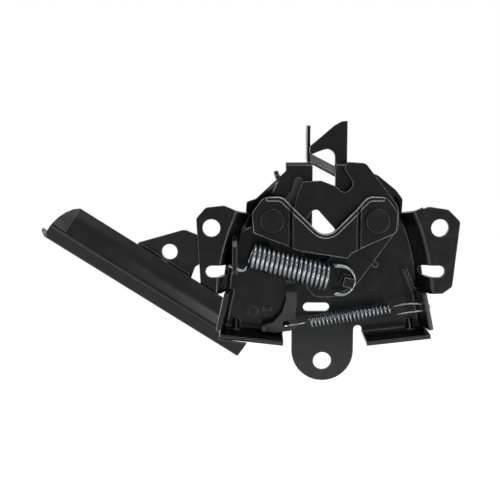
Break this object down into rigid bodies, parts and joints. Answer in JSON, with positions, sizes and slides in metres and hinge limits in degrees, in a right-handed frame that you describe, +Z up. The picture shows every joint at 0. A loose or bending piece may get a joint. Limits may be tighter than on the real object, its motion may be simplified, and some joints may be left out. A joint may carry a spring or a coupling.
{
  "type": "bonnet latch",
  "caption": "Pressed-steel bonnet latch with a sprung claw and release lever on a bent base plate, a sprung safety hook behind it and a fixed cable guard at one side.",
  "frame": {"origin": "midway between the two upper bolt holes, on the front face of the ears", "axes": "+X to the right seen from the front, +Y from the front to the back, +Z up"},
  "size_m": [0.2108, 0.0591, 0.135],
  "materials": {
    "black_coat": "semi-gloss black dip coat",
    "grey_coat": "matt dark grey coat",
    "spring_wire": "dark satin spring wire",
    "steel": "plain turned steel"
  },
  "bodies": {
    "frame": {"base_plate": "black_coat", "cable_guard": "black_coat", "bridge_plate": "black_coat", "claw_bush": "steel", "claw_washer": "steel", "claw_spacer": "steel", "claw_rivet": "black_coat", "lever_bush": "steel", "lever_washer": "steel", "lever_spacer": "steel", "lever_rivet": "black_coat", "claw_spring": "spring_wire", "lever_spring": "spring_wire", "safety_sleeve": "steel", "safety_spacer": "steel", "safety_washer": "steel", "safety_rivet": "black_coat", "safety_spring": "spring_wire"},
    "claw_body": {"claw": "black_coat"},
    "lever_body": {"release_lever": "grey_coat"},
    "hook_body": {"safety_hook": "black_coat"}
  },
  "joints": [
    {"name": "claw_pivot", "type": "hinge", "parent": "frame", "child": "claw_body", "pos_m": [0.0266, 0.0089, 0.0031], "axis": [0, -1, 0], "range_deg": [0, 41], "stiffness_Nm_per_rad": 1.5, "springref_deg": -34.38, "deforming": ["claw_spring"]},
    {"name": "lever_pivot", "type": "hinge", "parent": "frame", "child": "lever_body", "pos_m": [-0.0266, 0.012, 0.0031], "axis": [0, 1, 0], "range_deg": [-5.2, 5], "stiffness_Nm_per_rad": 0.4, "deforming": ["lever_spring"]},
    {"name": "hook_pivot", "type": "hinge", "parent": "frame", "child": "hook_body", "pos_m": [0, 0.0215, -0.02], "axis": [0, 1, 0], "range_deg": [0, 14], "stiffness_Nm_per_rad": 0.6, "springref_deg": -28.65, "deforming": ["safety_spring"]}
  ]
}
